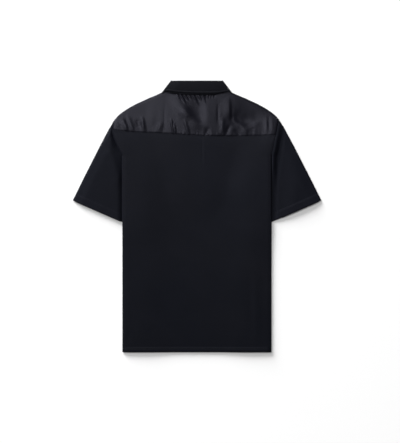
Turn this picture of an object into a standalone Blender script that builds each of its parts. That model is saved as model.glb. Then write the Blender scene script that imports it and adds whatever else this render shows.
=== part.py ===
"""A short-sleeved polo shirt, laid flat on its front with its back up and its sides turned under.

Sizes are in millimetres until the meshes are made. X runs to the right as the back is seen, Y from the
hem to the collar and Z up from the table. Each piece is an open sheet at the middle of its cloth, which
Solidify makes a wall of."""

import math

import bmesh
import bpy
import numpy as np

WALL = 1.0  # thickness of the cloth
STEP = 1.6  # from the middle of one layer to the middle of the next
TABLE = WALL / 2  # the middle of a layer that lies on the table
GAP = 0.4  # between two pieces at a seam
LENGTH = 753.4  # hem to the top of the folded collar
FOLD = 206.7  # centre line to the turned-under side
CREST = FOLD - 1.5 * STEP - WALL / 2  # where the back starts to turn round that fold
SEAM_X = 150.1  # side seam, under the body
BACK_HALF = CREST + 1.5 * STEP * math.pi + CREST - SEAM_X  # centre line to side seam in the cloth
FRONT_HALF = CREST + 0.5 * STEP * math.pi + CREST - SEAM_X
HEM_TIP = (344.85, 420.6)  # outer corner of the sleeve hem
HEM_UNDER = (170.9, 344.8)  # its inner corner, under the body
PLACKET = {"half": 15.0, "bottom": 482.0, "top": 632.0, "lift": 2.2}
BUTTON = {"radius": 5.5, "thick": 1.8, "heights": (612.0, 565.0, 518.0)}
YOKE_TURN = 22.0  # how far the yoke reaches past the shoulder fold, on the front

# The armhole seam: its distance from the centre line in the cloth, at each height. Above FOLD the cloth
# turns under, up to the row at 547.
ARMHOLE = {
    "left": {
        "height": (455, 482, 500, 520, 535, 547, 562, 580.2, 598.3, 616.5, 632.2),
        "out": (265, 243, 231.5, 219.8, 212.2, 206.9, 215.0, 224.8, 231.8, 237.3, 236.5),
    },
    "right": {
        "height": (455, 482, 500, 520, 535, 547, 562, 575.7, 589.5, 603.2, 643.3),
        "out": (265, 243, 231.5, 219.8, 212.2, 206.9, 210.0, 212.6, 215.0, 219.8, 229.0),
    },
}

# Seams and edges of the back: x, then the height there.
YOKE_SEAM = {
    "x": (-237, -202, -174, -119, -63, -35, -8, 20, 117, 173, 201, 220),
    "y": (616.5, 614.1, 611.3, 608.5, 605.8, 603, 602.4, 600.2, 600.2, 600.8, 602.4, 603.2),
}
BACK_NECK = {
    "x": (-92, -80, -50, 0, 45, 70, 92),
    "y": (722.8, 719.0, 713.5, 711.0, 711.5, 716.5, 722.8),
}
SHOULDER = {  # distance from the centre line, then the height of the fold
    "x": (90, 101, 107, 133, 169, 189, 206, 219.5, 229, 236.5),
    "y": (723.4, 718.5, 715.6, 704.4, 687.8, 676.7, 665.5, 654.4, 643.3, 632.2),
}
FRONT_NECK = {
    "x": (0, 15.3, 30, 52, 70, 84, 90),
    "y": (632, 633.5, 638, 653, 675, 696, 701),
}
FALL_EDGE = {
    "x": (-91.3, -83, -50, 0, 50, 83, 91.3),
    "y": (724.0, 724.5, 720.0, 717.5, 717.5, 722.0, 724.0),
}

# The collar, half of it: the crease at its side and the leaf on the front.
CREASE_TOP = (70.0, 752.1)
CREASE_END = (95.7, 718.3)
LEAF_POINT = (42.0, 611.0)
LEAF_TOP = (6.0, 662.0)

# The largest folds of the back: ends, width of each, height over the cloth round it.
FOLDS = (
    {"from": (-60, 706), "to": (-6, 629), "wide": 9, "high": -0.9},
    {"from": (-62, 700), "to": (-24, 640), "wide": 6, "high": 0.9},
    {"from": (18, 704), "to": (16, 655), "wide": 7, "high": 0.8},
    {"from": (76, 706), "to": (74, 612), "wide": 10, "high": 1.0},
    {"from": (94, 680), "to": (129, 608), "wide": 8, "high": 0.8},
    {"from": (128, 668), "to": (168, 648), "wide": 14, "high": -0.8},
    {"from": (194, 640), "to": (192, 610), "wide": 8, "high": 0.7},
    {"from": (-84, 650), "to": (-68, 608), "wide": 7, "high": 0.8},
    {"from": (-216, 648), "to": (-196, 616), "wide": 8, "high": 0.7},
    {"from": (-150, 655), "to": (-148, 612), "wide": 9, "high": 0.7},
    {"from": (160, 250), "to": (168, 20), "wide": 24, "high": 1.0},
    {"from": (-190, 70), "to": (-188, 10), "wide": 18, "high": -0.5},
    {"from": (112, 70), "to": (110, 0), "wide": 20, "high": 0.8},
)
GATHERS = {"from": -66.0, "to": 43.0, "count": 10, "high": 0.9, "reach": 42.0}


def smooth(t):
    t = np.clip(t, 0.0, 1.0)
    return t * t * (3.0 - 2.0 * t)


def away(x, y, corners, closed=True):
    """How far each point is outside the shape with these corners, or from the line through them."""
    x, y = np.asarray(x, float), np.asarray(y, float)
    far = np.full(x.shape, 1e9)
    inside = np.zeros(x.shape, bool)
    ends = corners[1:] + corners[:1] if closed else corners[1:]
    for (ax, ay), (bx, by) in zip(corners, ends):
        dx, dy = bx - ax, by - ay
        t = np.clip(((x - ax) * dx + (y - ay) * dy) / (dx * dx + dy * dy), 0.0, 1.0)
        far = np.minimum(far, np.hypot(x - ax - t * dx, y - ay - t * dy))
        if closed and ay != by:
            inside ^= ((ay > y) != (by > y)) & (x < ax + (y - ay) * dx / dy)
    return np.where(inside, 0.0, far)


def armhole(side, y):
    return np.interp(y, ARMHOLE[side]["height"], ARMHOLE[side]["out"])


def seam_height(x):
    return np.interp(x, YOKE_SEAM["x"], YOKE_SEAM["y"])


def shoulder_height(x):
    return np.interp(np.abs(x), SHOULDER["x"], SHOULDER["y"])


HIDDEN_SLEEVE = [(FOLD, 547.0), (149.0, 455.0), HEM_UNDER, (FOLD + 4, 362.0)]
TURNED_SIDE = [(146.0, -9.0), (146.0, 462.0), (204.0, 552.0), (214.0, 552.0), (214.0, -9.0)]
LEAF = [CREASE_TOP, CREASE_END, LEAF_POINT, LEAF_TOP]
UNDER_PLACKET = [(-16.0, 474.0), (16.0, 474.0), (16.0, 640.0), (-16.0, 640.0)]


def sleeve_lift(x, y):
    return 2 * STEP * smooth(1 - (away(np.abs(x), y, HIDDEN_SLEEVE) - 8) / 26)


def front_height(x, y):
    """The middle of the front, over all that lies under it."""
    sides = sleeve_lift(x, y) + 2 * STEP * smooth(1 - away(np.abs(x), y, TURNED_SIDE) / 26)
    placket = PLACKET["lift"] * smooth(1 - (away(x, y, UNDER_PLACKET) - 1) / 26)
    leaf = STEP * smooth(1 - (away(np.abs(x), y, LEAF) - 6) / 20)
    return TABLE + (sides**3 + placket**3 + leaf**3) ** (1 / 3)


def folds(x, y):
    total = np.zeros(np.shape(x))
    for f in FOLDS:
        (ax, ay), (bx, by) = f["from"], f["to"]
        dx, dy = bx - ax, by - ay
        t = ((x - ax) * dx + (y - ay) * dy) / (dx * dx + dy * dy)
        off = np.hypot(x - ax - np.clip(t, 0, 1) * dx, y - ay - np.clip(t, 0, 1) * dy)
        total += f["high"] * np.exp(-((off / f["wide"]) ** 2)) * smooth(1.2 - np.abs(2 * t - 1))
    return total


def back_height(x, y):
    """The middle of the back and the yoke: a layer above the front, with a little air in the middle."""
    edge = np.minimum(CREST - np.abs(x), (shoulder_height(x) - y) * 0.85)
    edge = np.where(y > 590, np.minimum(edge + 24, (shoulder_height(x) - y) * 0.85), edge)
    loose = smooth((edge - 2) / 22)
    neck = smooth((np.interp(x, BACK_NECK["x"], BACK_NECK["y"]) - y + 2) / 14)
    neck = np.where(np.abs(x) < 92, 0.25 + 0.75 * neck, 1.0)
    under = STEP * smooth(1 - (away(x, y, UNDER_PLACKET) - 1) / 22)
    return front_height(x, y) + STEP + under + loose * neck * (1.0 + folds(x, y))


def solid(name, material, points, closed=False, keep=None):
    """A wall round the grid of points: points[row, column] is (x, y, z)."""
    rows, columns = points.shape[:2]
    bm = bmesh.new()
    bmesh.ops.create_grid(bm, x_segments=columns - 1, y_segments=rows - 1, size=1.0)
    for v in bm.verts:
        column = round((v.co.x + 1) / 2 * (columns - 1))
        row = round((v.co.y + 1) / 2 * (rows - 1))
        x, y, z = points[row, column]
        v.co = (x, y - LENGTH / 2, z)
    if keep is not None:
        out = [f for f in bm.faces if not keep(*f.calc_center_median())]
        bmesh.ops.delete(bm, geom=out, context="FACES")
    bmesh.ops.triangulate(bm, faces=bm.faces[:], quad_method="FIXED")
    if closed:
        bmesh.ops.remove_doubles(bm, verts=bm.verts[:], dist=0.01)
    bmesh.ops.recalc_face_normals(bm, faces=bm.faces[:])
    bmesh.ops.scale(bm, vec=(0.001, 0.001, 0.001), verts=bm.verts[:])
    mesh = bpy.data.meshes.new(name)
    bm.to_mesh(mesh)
    bm.free()
    mesh.materials.append(material)
    piece = bpy.data.objects.new(name, mesh)
    wall = piece.modifiers.new("cloth wall", "SOLIDIFY")
    wall.thickness = WALL / 1000
    wall.offset = 0.0
    wall.use_quality_normals = True
    SHIRT.objects.link(piece)
    return piece


def finish(name, colour, roughness):
    material = bpy.data.materials.new(name)
    material.use_nodes = True
    shader = material.node_tree.nodes["Principled BSDF"]
    shader.inputs["Base Color"].default_value = (*colour, 1.0)
    shader.inputs["Roughness"].default_value = roughness
    return material


for old in list(bpy.data.objects):
    bpy.data.objects.remove(old, do_unlink=True)
SHIRT = bpy.data.collections.new("polo_shirt")
bpy.context.scene.collection.children.link(SHIRT)
JERSEY = finish("jersey", (0.011, 0.011, 0.016), 0.85)
NYLON = finish("yoke_nylon", (0.025, 0.025, 0.033), 0.45)
COLLAR = finish("collar_rib", (0.011, 0.011, 0.015), 0.85)
PEARL = finish("button", (0.012, 0.012, 0.016), 0.3)

# The back and the front share rows and columns, so that their facets lie alike. Columns are distances
# from the centre line along the cloth; the last ones turn under with the side.
ROWS = (0, 55, 120, 190, 255, 308, 335, 360, 385, 420, 455, 482, 500, 520, 535, 539, 543, 547, 562)
ACROSS = (15.3, 24, 34, 46, 64, 82, 102, 120, 128, 137, 146, SEAM_X, 163, 176, 190, CREST)


def columns_of(radius, turns):
    """Distances along the cloth from the centre line: across, round the side fold, and back under."""
    bend = [CREST + radius * math.pi * k / turns for k in range(1, turns + 1)]
    return np.array([0.0, *ACROSS, *bend, *(bend[-1] + CREST - x for x in (190, 176, 163, SEAM_X))])


def body_grid(radius, turns, height, above, top, over_seam, trim):
    """The points of one body panel. height(x, y) is its level, which at the sides is that of the front
    and the steps above it, and top(x) is its upper edge."""
    half = columns_of(radius, turns)
    slack = (len(half) - 1 - np.arange(len(half))) * 0.8
    beyond = np.clip((np.arange(len(half)) - len(ACROSS)) / (len(half) - 1 - len(ACROSS)), 0, 1)
    bend_end = CREST + radius * math.pi
    grid = []
    for side, sign in (("left", -1), ("right", 1)):

        def across(y):
            flat = smooth((y - 538) / 9)
            limit = armhole(side, y) - trim * (1 + 1.5 * np.exp(-(((y - 542) / 10) ** 2)))
            limit = limit - (BACK_HALF - half[-1]) * (1 - flat)
            turned = np.minimum(half, limit - slack)
            spread = np.minimum(half, CREST) + np.maximum(limit - CREST, 2.0) * beyond
            return turned + (spread - turned) * flat

        upper = np.full(len(half), 620.0)
        for _ in range(30):
            upper = 0.5 * upper + 0.5 * top(sign * across(upper))
        seam = np.minimum(seam_height(sign * across(seam_height(sign * half))) - GAP / 2, upper)
        heights = [np.full(len(half), float(r)) for r in ROWS]
        heights += [ROWS[-1] + (seam - ROWS[-1]) * f for f in (1 / 3, 2 / 3, 1)]
        heights += [seam + (upper - seam) * f for f in over_seam]
        rows = []
        for y in heights:
            s = across(y)
            angle = np.clip((s - CREST) / radius, 0, math.pi)
            x = np.where(s < CREST, s, CREST + radius * np.sin(angle))
            x = np.where(s > bend_end, CREST - (s - bend_end), x)
            drop = radius * (1 - np.cos(angle))
            flat = smooth((y - 540) / 14)
            x, drop = x + (s - x) * flat, drop * (1 - flat)
            drop = drop + trim * 0.4 * np.exp(-(((y - 542) / 10) ** 2)) * smooth((s - 190) / 14)
            level = np.where(s <= CREST, height(sign * x, y), front_height(sign * x, y) + above)
            rows.append(np.stack([sign * x, y, level - drop], axis=-1))
        grid.append(np.array(rows))
    left, right = grid
    return np.concatenate([left[:, :0:-1], right], axis=1)


def front_top(x):
    out = np.abs(x)
    fold = shoulder_height(x) - YOKE_TURN - GAP
    return np.where(out < 90, np.interp(out, FRONT_NECK["x"], FRONT_NECK["y"]), fold)


back = solid(
    "back_panel",
    JERSEY,
    body_grid(1.5 * STEP, 5, back_height, STEP, lambda x: seam_height(x) - GAP / 2, (), GAP / 2),
)
front = solid(
    "front_panel",
    JERSEY,
    body_grid(0.5 * STEP, 5, front_height, 0.0, front_top, (0.5, 1.0), 1.0),
    keep=lambda x, y, z: abs(x) > PLACKET["half"] or y + LENGTH / 2 < PLACKET["bottom"],
)

# The yoke: up from its seam to the neck and the shoulder fold, then round that fold to the front.
YOKE_LEFT = (-236.5, -229, -219.5, -206, -189, -169, -151, -133, -119, -107, -99, -93, -86, -78, -72)
YOKE_RIGHT = (51, 59, 68, 78, 86, 93, 99, 107, 119, 133, 151, 169, 189, 206, 214, 222, 229)
PUCKERS = tuple(GATHERS["from"] + 2.8 * k for k in range(40))
tops = np.array([*YOKE_LEFT, *PUCKERS, *YOKE_RIGHT])
t = (tops - tops[0]) / (tops[-1] - tops[0])
bottoms = -237.2 + GAP / 2 + (237.2 + 219.8 - GAP) * t
at_neck = np.abs(tops) < 92
edge_y = np.where(
    at_neck, np.interp(tops, BACK_NECK["x"], BACK_NECK["y"]) - GAP / 2, shoulder_height(tops)
)
slope = (shoulder_height(np.abs(tops) + 2) - shoulder_height(np.abs(tops) - 2)) / 4
outward = np.stack([-slope * np.sign(tops), np.ones(len(tops))], axis=-1)
outward /= np.linalg.norm(outward, axis=1, keepdims=True)
inset = np.where(at_neck, 0.0, STEP / 2 + WALL / 2)
edge = np.stack([tops, edge_y], axis=-1) - outward * inset[:, None]
foot = np.stack([bottoms, seam_height(bottoms) + GAP / 2], axis=-1)
levels = (0, 0.13, 0.28, 0.44, 0.6, 0.74, 0.86, 0.94, 1.0)
sheet = []
for v in levels:
    x, y = (foot + (edge - foot) * v).T
    below = np.interp(x, BACK_NECK["x"], BACK_NECK["y"]) - y
    phase = (tops - GATHERS["from"]) / (GATHERS["to"] - GATHERS["from"])
    inside = smooth(phase * 12) * smooth((1 - phase) * 12)
    wave = np.sin(phase * GATHERS["count"] * 2 * math.pi - 1.2) * inside
    wave *= GATHERS["high"] * np.exp(-below / GATHERS["reach"]) * (0.75 + 0.25 * np.cos(phase * 9))
    sheet.append(np.stack([x, y, back_height(x, y) + wave], axis=-1))
middle_of_fold = front_height(edge[:, 0], edge[:, 1]) + STEP / 2
for k in range(1, 5):
    a = math.pi * k / 4
    spot = edge + outward * (STEP / 2 * math.sin(a))
    sheet.append(np.column_stack([spot, middle_of_fold + STEP / 2 * math.cos(a)]))
down = (foot - edge) / np.linalg.norm(foot - edge, axis=1, keepdims=True)
down = np.where(np.abs(tops[:, None]) > 224, down, np.array([[0.0, -1.0]]))
reach = np.full(len(tops), YOKE_TURN)


def down_front(far):
    """Points this far down the front from the fold, kept inside the armhole."""
    spot = edge + down * far[:, None]
    limit = np.where(tops < 0, armhole("left", spot[:, 1]), armhole("right", spot[:, 1])) - GAP / 2
    spot[:, 0] = np.clip(spot[:, 0], -limit, limit)
    return spot


for _ in range(30):
    spot = down_front(reach)
    reach += 0.7 * (spot[:, 1] - shoulder_height(spot[:, 0]) + YOKE_TURN)
for part in (0.3, 0.65, 1.0):
    spot = down_front(reach * part)
    sheet.append(np.column_stack([spot, front_height(spot[:, 0], spot[:, 1])]))
sheet = np.array(sheet)
count = {"rows": len(levels) - 1, "columns": len(tops) - 1}
yoke = sheet.copy()
covered = np.zeros(sheet.shape[:2], bool)
covered[: len(levels)] = True
covered[:, ~at_neck] = True


def yoke_grid():
    """The yoke's mesh, without the faces that would fill the neck."""
    bm = bmesh.new()
    rows, columns = yoke.shape[:2]
    bmesh.ops.create_grid(bm, x_segments=columns - 1, y_segments=rows - 1, size=1.0)
    lost = []
    for v in bm.verts:
        column = round((v.co.x + 1) / 2 * (columns - 1))
        row = round((v.co.y + 1) / 2 * (rows - 1))
        x, y, z = yoke[row, column]
        v.co = (x / 1000, (y - LENGTH / 2) / 1000, z / 1000)
        if not covered[row, column]:
            lost.append(v)
    bmesh.ops.delete(bm, geom=lost, context="VERTS")
    bmesh.ops.triangulate(bm, faces=bm.faces[:], quad_method="FIXED")
    bmesh.ops.recalc_face_normals(bm, faces=bm.faces[:])
    return bm


mesh = bpy.data.meshes.new("back_yoke")
bm = yoke_grid()
bm.to_mesh(mesh)
bm.free()
mesh.materials.append(NYLON)
piece = bpy.data.objects.new("back_yoke", mesh)
wall = piece.modifiers.new("cloth wall", "SOLIDIFY")
wall.thickness = WALL / 1000
wall.offset = 0.0
wall.use_quality_normals = True
SHIRT.objects.link(piece)


# Each sleeve is a flattened tube: over the top from the underarm to the shoulder fold, and back beneath.
def sleeve(side, sign):
    heights = np.array(ARMHOLE[side]["height"], float)[::-1]
    out = armhole(side, heights)
    hidden = heights < 548
    ahx = np.where(hidden, 2 * FOLD - out, out + GAP / 2)
    hem_x = np.linspace(HEM_TIP[0], HEM_UNDER[0], len(heights))
    hem_y = np.linspace(HEM_TIP[1], HEM_UNDER[1], len(heights))
    far = np.concatenate([[0], np.cumsum(np.hypot(np.diff(ahx), np.diff(heights)))])
    far /= far[-1]
    hem_x = HEM_TIP[0] + (HEM_UNDER[0] - HEM_TIP[0]) * far
    hem_y = HEM_TIP[1] + (HEM_UNDER[1] - HEM_TIP[1]) * far
    seam_line = [(x, y) for x, y in zip(ahx[~hidden], heights[~hidden])]
    rows = []
    for v in (0, 0.08, 0.17, 0.28, 0.4, 0.55, 0.7, 0.85, 1.0):
        x = ahx + (hem_x - ahx) * v
        y = heights + (hem_y - heights) * v
        over = np.array([x[0] - x[-1], y[0] - y[-1]])
        over /= np.linalg.norm(over)
        x[0], y[0] = x[0] - 1.3 * over[0] * 1.1, y[0] - 1.3 * over[1] * 1.1
        low = np.where(y < 556, 1.7, 1.0)
        near = away(x, 556 + (y - 556) * low, [(a, 556 + (b - 556)) for a, b in seam_line], closed=False)
        climb = (front_height(sign * x, y) - TABLE) * smooth(1 - near / 30)
        climb = np.where(v == 0, np.where(hidden, 0, front_height(sign * x, y) - TABLE), climb)
        puff = 1.6 * np.sin(math.pi * np.clip(far, 0, 1)) * smooth((x - 214) / 30) * smooth(near / 40)
        bottom = TABLE + climb
        upper = bottom + STEP + puff
        ring = [(a, b, c) for a, b, c in zip(x[::-1], y[::-1], upper[::-1])]
        for k in (1, 2, 3):
            a = math.pi * k / 4
            r = STEP / 2
            ring.append(
                (
                    x[0] + over[0] * r * math.sin(a),
                    y[0] + over[1] * r * math.sin(a),
                    (upper[0] + bottom[0]) / 2 + r * math.cos(a),
                )
            )
        ring += [(a, b, c) for a, b, c in zip(x, y, bottom)]
        for k in (1, 2, 3):
            a = math.pi * k / 4
            ring.append(
                (
                    x[-1] - over[0] * r * math.sin(a),
                    y[-1] - over[1] * r * math.sin(a),
                    (upper[-1] + bottom[-1]) / 2 - r * math.cos(a),
                )
            )
        ring.append(ring[0])
        rows.append([(sign * a, b, c) for a, b, c in ring])
    return solid(f"sleeve_{side}", JERSEY, np.array(rows), closed=True)


sleeve("left", -1)
sleeve("right", 1)

# The collar. Its stand and fall lie half a step each side of one surface, which the crease at each side
# takes round from the back to the front.
AXIS = np.array([CREASE_END[0] - CREASE_TOP[0], CREASE_END[1] - CREASE_TOP[1]])
AXIS = AXIS / np.linalg.norm(AXIS)
OUT = np.array([-AXIS[1], AXIS[0]])
CREASE_Z = TABLE + 1.5 * STEP


def along(points, t):
    """A point at each t from 0 to 1 along the line through these points."""
    points = np.array(points, float)
    far = np.concatenate([[0], np.cumsum(np.linalg.norm(np.diff(points, axis=0), axis=1))])
    return np.stack([np.interp(t * far[-1], far, points[:, k]) for k in (0, 1)], axis=-1)


def collar_columns():
    """Half the collar, from the front end to the centre back. Each column has the place of the fold, of
    the fall's edge and of the neck seam, the way up from stand to fall and the way past the fold."""
    crease = np.array(CREASE_TOP)
    fall_end = np.array([91.3, 724.0])
    stand_end = np.array([91.3, 724.0])
    columns = []
    neck = list(zip(FRONT_NECK["x"], FRONT_NECK["y"]))
    for t in (0, 0.16, 0.34, 0.52, 0.7, 0.86, 0.96):
        fold = along([LEAF_TOP, CREASE_TOP], t)
        edge_ = along([LEAF_POINT, CREASE_END], t)
        seam = along([(3.0, 632.0), *neck[1:-1], tuple(stand_end)], t) + np.array([-0.2, 0.5])
        past = np.array([-0.8, 0.6])
        columns.append((fold, edge_, seam, -1.0, 0.0, past, TABLE + STEP / 2))
    for k in range(0, 7):
        a = math.pi * (1 - k / 6)
        shift = OUT * STEP * math.sin(a)
        columns.append(
            (crease, fall_end, stand_end, math.cos(a), math.sin(a), -AXIS, CREASE_Z + STEP * math.cos(a))
        )
    return columns


half = collar_columns()


def collar_half(sign):
    got = []
    for fold, fall, seam, up, side, past, z in half:
        shift = OUT * STEP * side
        normal = np.array([OUT[0] * side, OUT[1] * side, up])
        got.append(
            {
                "fold": np.array([*(fold + shift), z]),
                "fall": np.array([*(fall + shift), z]),
                "seam": np.array([*(seam + shift), z]),
                "normal": normal,
                "past": np.array([*past, 0.0]),
            }
        )
    flip = np.array([sign, 1, 1])
    return [{k: v * flip for k, v in c.items()} for c in got]


middle = []
back_z = CREASE_Z + STEP
for x in (-60, -45, -30, -15, 0, 15, 30, 45, 60):
    wide = x * 91.3 / 70.0
    fall_y = np.interp(wide, FALL_EDGE["x"], FALL_EDGE["y"])
    seam_y = np.interp(wide, BACK_NECK["x"], BACK_NECK["y"]) + GAP / 2
    middle.append(
        {
            "fold": np.array([x, 752.1, back_z]),
            "fall": np.array([wide, fall_y, back_z]),
            "seam": np.array([wide, seam_y, back_z]),
            "normal": np.array([0.0, 0.0, 1.0]),
            "past": np.array([0.0, 1.0, 0.0]),
        }
    )
collar = [*collar_half(-1), *middle, *reversed(collar_half(1))]
R = STEP / 2
fall_rows, stand_rows = [], []
for a in (math.pi, 0.75 * math.pi, 0.5 * math.pi, 0.25 * math.pi):
    fall_rows.append(
        [c["fold"] + c["normal"] * R * math.cos(a) + c["past"] * R * math.sin(a) for c in collar]
    )
for w in (0, 0.15, 0.4, 0.7, 1.0):
    fall_rows.append([c["fold"] + (c["fall"] - c["fold"]) * w + c["normal"] * R for c in collar])
for w in (0, 0.5, 1.0):
    row = []
    for c in collar:
        run = c["seam"] - c["fold"]
        start = 0.8 / np.linalg.norm(run)
        row.append(c["fold"] + run * (start + (1 - start) * w) - c["normal"] * R)
    stand_rows.append(row)
solid("collar_fall", COLLAR, np.array(fall_rows))
solid("collar_stand", COLLAR, np.array(stand_rows))

# The placket on the front: two strips, one on the other, and the buttons that show on its face.
for name, layer in (("placket_upper", 0), ("placket_under", 1)):
    z = TABLE + PLACKET["lift"] + layer * STEP
    strip = [
        [(x, y, z) for x in (-PLACKET["half"] + GAP, 0, PLACKET["half"] - GAP)]
        for y in np.linspace(PLACKET["bottom"] + GAP, PLACKET["top"] - GAP, 6)
    ]
    solid(name, JERSEY, np.array(strip))
for number, y in enumerate(BUTTON["heights"], 1):
    bm = bmesh.new()
    bmesh.ops.create_cone(
        bm,
        cap_ends=True,
        segments=24,
        radius1=BUTTON["radius"] / 1000,
        radius2=BUTTON["radius"] / 1000,
        depth=BUTTON["thick"] / 1000,
    )
    bmesh.ops.translate(
        bm,
        vec=(0, (y - LENGTH / 2) / 1000, (BUTTON["thick"] / 2 + 0.05) / 1000),
        verts=bm.verts[:],
    )
    mesh = bpy.data.meshes.new(f"button_{number}")
    bm.to_mesh(mesh)
    bm.free()
    mesh.materials.append(PEARL)
    SHIRT.objects.link(bpy.data.objects.new(f"button_{number}", mesh))
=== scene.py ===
import math

import bmesh
import bpy
import numpy as np
from mathutils import Matrix, Vector


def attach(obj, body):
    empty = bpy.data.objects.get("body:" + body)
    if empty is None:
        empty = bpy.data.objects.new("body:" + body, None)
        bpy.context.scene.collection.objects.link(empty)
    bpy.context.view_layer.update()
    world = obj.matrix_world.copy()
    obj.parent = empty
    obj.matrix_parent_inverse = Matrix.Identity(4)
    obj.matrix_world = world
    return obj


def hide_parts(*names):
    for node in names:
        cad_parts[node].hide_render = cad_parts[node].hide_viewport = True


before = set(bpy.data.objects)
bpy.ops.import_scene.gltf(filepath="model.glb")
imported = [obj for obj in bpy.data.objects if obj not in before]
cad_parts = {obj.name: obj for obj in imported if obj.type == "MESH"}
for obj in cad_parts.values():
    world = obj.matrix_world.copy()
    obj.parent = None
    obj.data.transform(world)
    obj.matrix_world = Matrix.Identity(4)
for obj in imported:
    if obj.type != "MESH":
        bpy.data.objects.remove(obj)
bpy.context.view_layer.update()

# The front: cotton jersey, cut with a slit for the placket. It lies face down on the table, its sides
# are turned under the body with those of the back, and its hem is turned up inside and stitched. The
# other layers pile up on it, so the shirt's sizes, in millimetres from the hem, are worked out here.
cloth = 0.9  # thickness of the jersey
step = 1.6  # from the middle of one layer to the middle of the next
table = 0.5  # the middle of a layer that lies on the table
length = 753.4  # hem to the top of the folded collar
fold = 206.7  # centre line to the side as it lies
crest = fold - 1.5 * step - 0.25  # where the back starts to turn round that side
side_seam = 150.1  # centre line to the side seam, under the body
back_half = crest + 1.5 * step * math.pi + crest - side_seam  # centre line to the side seam, as cut
cuff_tip, cuff_under = (344.85, 420.6), (170.9, 344.8)  # the corners of a sleeve's hem
placket_half, placket_bottom, placket_top = 15.0, 482.0, 632.0
placket_lift = 2.2
yoke_turn = 22.0  # how far the yoke reaches past the shoulder fold
seam_gap = 0.05  # from the seam of the yoke to the cloth on either side of it
underarm = 547.0  # where the armhole seam meets the turned side
armhole_cut = {
    "left": {
        "height": (455, 482, 500, 520, 535, 547, 560, 575, 586, 598, 613, 624, 634.4),
        "out": (265, 243, 231.5, 219.8, 212.2, 206.9, 213.2, 220.4, 225.2, 230, 233.6, 234.9, 235),
    },
    "right": {
        "height": (455, 482, 500, 520, 535, 547, 562, 575.7, 589.5, 603.2, 628.6, 643.3),
        "out": (265, 243, 231.5, 219.8, 212.2, 207.2, 211.6, 214, 216.4, 220, 225, 229.3),
    },
}
yoke_seam = {
    "x": (-237, -202, -174, -119, -63, -35, -8, 20, 117, 173, 201, 220),
    "y": (616.5, 614.1, 611.3, 608.5, 605.8, 603, 602.4, 600.2, 600.2, 600.8, 602.4, 603.2),
}
shoulder = {
    "x": (90, 101, 107, 133, 169, 189, 206, 219.5, 229, 236.5),
    "y": (723.4, 719.2, 716.4, 705.6, 689.1, 678.2, 667.2, 656.3, 645.2, 633.6),
}
front_neck = {"x": (0, 15.3, 30, 52, 70, 84, 90), "y": (632, 633.5, 638, 653, 675, 696, 701)}
crease_top, crease_end = (70.0, 752.1), (95.7, 718.3)
leaf_point, leaf_top = (42.0, 611.0), (6.0, 662.0)
hidden_sleeve = [(fold, underarm), (149.0, 455.0), cuff_under, (fold + 4, 362.0)]
turned_side = [(146.0, -9.0), (146.0, 462.0), (204.0, 552.0), (214.0, 552.0), (214.0, -9.0)]
under_placket = [(-16.0, 474.0), (16.0, 474.0), (16.0, 640.0), (-16.0, 640.0)]
under_leaf = [crease_top, crease_end, leaf_point, leaf_top]


def smooth(t):
    t = np.clip(t, 0.0, 1.0)
    return t * t * (3.0 - 2.0 * t)


def away(x, y, corners, closed=True):
    """How far each point lies outside the shape with these corners, or from the line through them."""
    x, y = np.asarray(x, float), np.asarray(y, float)
    far = np.full(x.shape, 1e9)
    inside = np.zeros(x.shape, bool)
    ends = corners[1:] + corners[:1] if closed else corners[1:]
    for (ax, ay), (bx, by) in zip(corners, ends):
        dx, dy = bx - ax, by - ay
        t = np.clip(((x - ax) * dx + (y - ay) * dy) / (dx * dx + dy * dy), 0.0, 1.0)
        far = np.minimum(far, np.hypot(x - ax - t * dx, y - ay - t * dy))
        if closed and ay != by:
            inside ^= ((ay > y) != (by > y)) & (x < ax + (y - ay) * dx / dy)
    return np.where(inside, 0.0, far)


def armhole(side, y):
    return np.interp(y, armhole_cut[side]["height"], armhole_cut[side]["out"])


def armhole_far(x, y):
    """How far a point is from the armhole seam above the underarm, on its own side."""
    far = []
    for side in ("left", "right"):
        knots = zip(armhole_cut[side]["out"], armhole_cut[side]["height"])
        line = [(a, b) for a, b in knots if b >= underarm]
        far.append(away(np.abs(x), y, line, closed=False))
    return np.where(np.asarray(x) < 0, *far)


def seam_height(x):
    return np.interp(x, yoke_seam["x"], yoke_seam["y"])


def shoulder_height(x):
    return np.interp(np.abs(x), shoulder["x"], shoulder["y"])


# Cloth drapes over what is turned under it, so the lift of those layers is spread out to all sides.
mesh_of_lift = 4.0
lift_bottom = -120
lift_reach, lift_spread = 45, 44.0
reach_x = np.arange(0, 364, mesh_of_lift)
reach_y = np.arange(lift_bottom, 800, mesh_of_lift)
lift = sum(
    2 * step * (away(*np.meshgrid(reach_x, reach_y), shape) < lift_reach)
    for shape in (hidden_sleeve, turned_side)
)
spread = np.exp(-((np.arange(-24, 25) * mesh_of_lift / lift_spread) ** 2))
spread /= spread.sum()
for way in (0, 1):
    lift = np.apply_along_axis(np.convolve, way, lift, spread, mode="same")


def draped_lift(x, y):
    at_x = np.clip(np.abs(x) / mesh_of_lift, 0, len(reach_x) - 1.001)
    at_y = np.clip((np.asarray(y, float) - lift_bottom) / mesh_of_lift, 0, len(reach_y) - 1.001)
    at_x, at_y = np.broadcast_arrays(at_x, at_y)
    i, j = at_x.astype(int), at_y.astype(int)
    u, v = at_x - i, at_y - j
    low = lift[j, i] * (1 - u) + lift[j, i + 1] * u
    high = lift[j + 1, i] * (1 - u) + lift[j + 1, i + 1] * u
    return low * (1 - v) + high * v


roll_high, roll_wide = 2.6, 45  # the soft roll of the body along each armhole seam


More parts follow.
